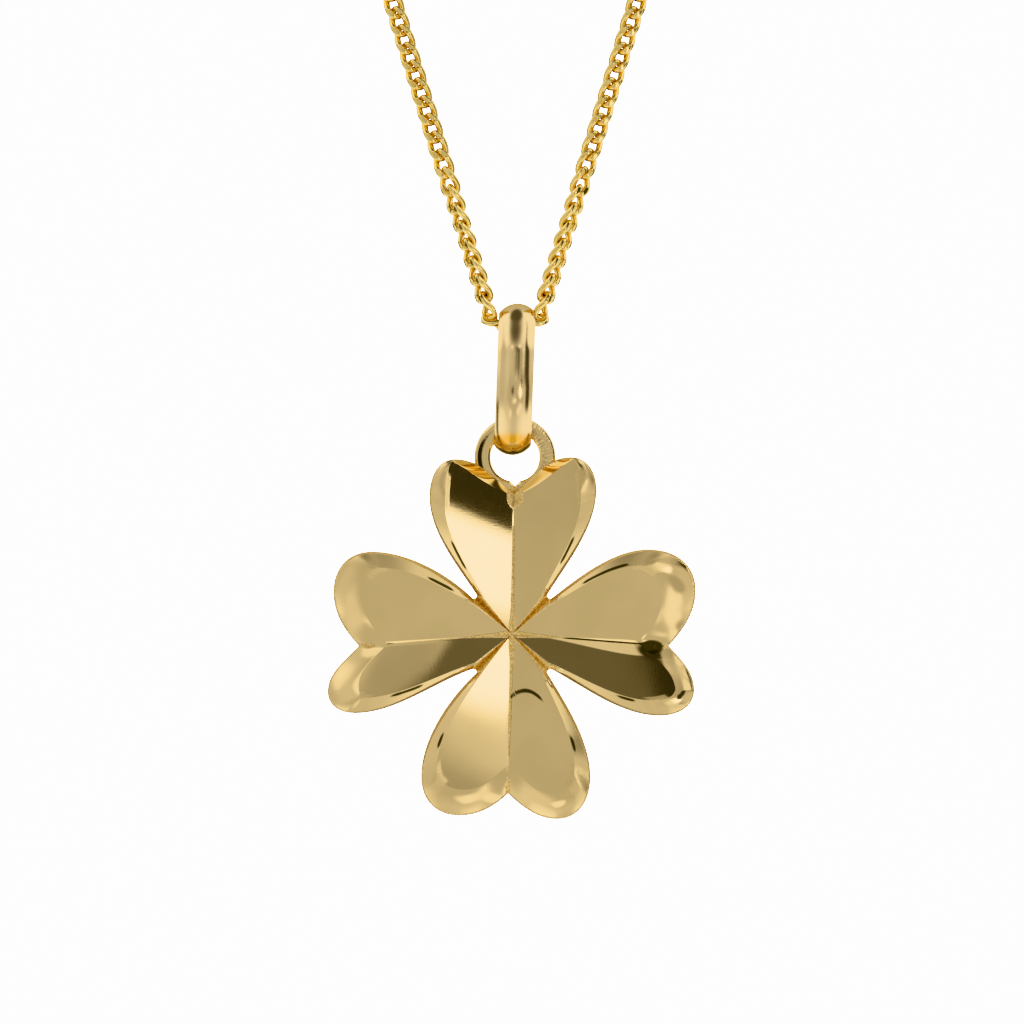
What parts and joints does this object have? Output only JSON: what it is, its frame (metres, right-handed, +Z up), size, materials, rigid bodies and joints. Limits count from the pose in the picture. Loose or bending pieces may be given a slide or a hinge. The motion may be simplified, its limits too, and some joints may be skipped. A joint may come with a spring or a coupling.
{
  "type": "four leaf clover pendant",
  "caption": "Yellow gold necklace: a faceted four leaf clover with heart shaped leaves hangs by a soldered ring from a long oval bail on a fine closed curb chain with a bolt ring clasp.",
  "frame": {"origin": "centre of the clasp, where the necklace lies on the nape", "axes": "+X to the wearer's left, +Y to the wearer's back, +Z up; the pendant's front faces -Y"},
  "size_m": [0.0954, 0.0953, 0.1674],
  "materials": {
    "clover_gold": "polished yellow gold, matt in the folds",
    "bail_gold": "polished yellow gold",
    "chain_gold": "polished, diamond cut yellow gold"
  },
  "bodies": {
    "chain": {"chain_left": "chain_gold", "chain_right": "chain_gold", "clasp": "chain_gold"},
    "bail": {"bail": "bail_gold"},
    "clover": {"clover": "clover_gold"}
  },
  "joints": [
    {"name": "bail_swing", "type": "hinge", "parent": "chain", "child": "bail", "pos_m": [0, -0.092, -0.139], "axis": [1, 0, 0], "range_deg": [-90, 90]},
    {"name": "clover_swing", "type": "hinge", "parent": "bail", "child": "clover", "pos_m": [0, -0.09174, -0.14571], "axis": [0, 1, 0], "range_deg": [-90, 90]}
  ]
}
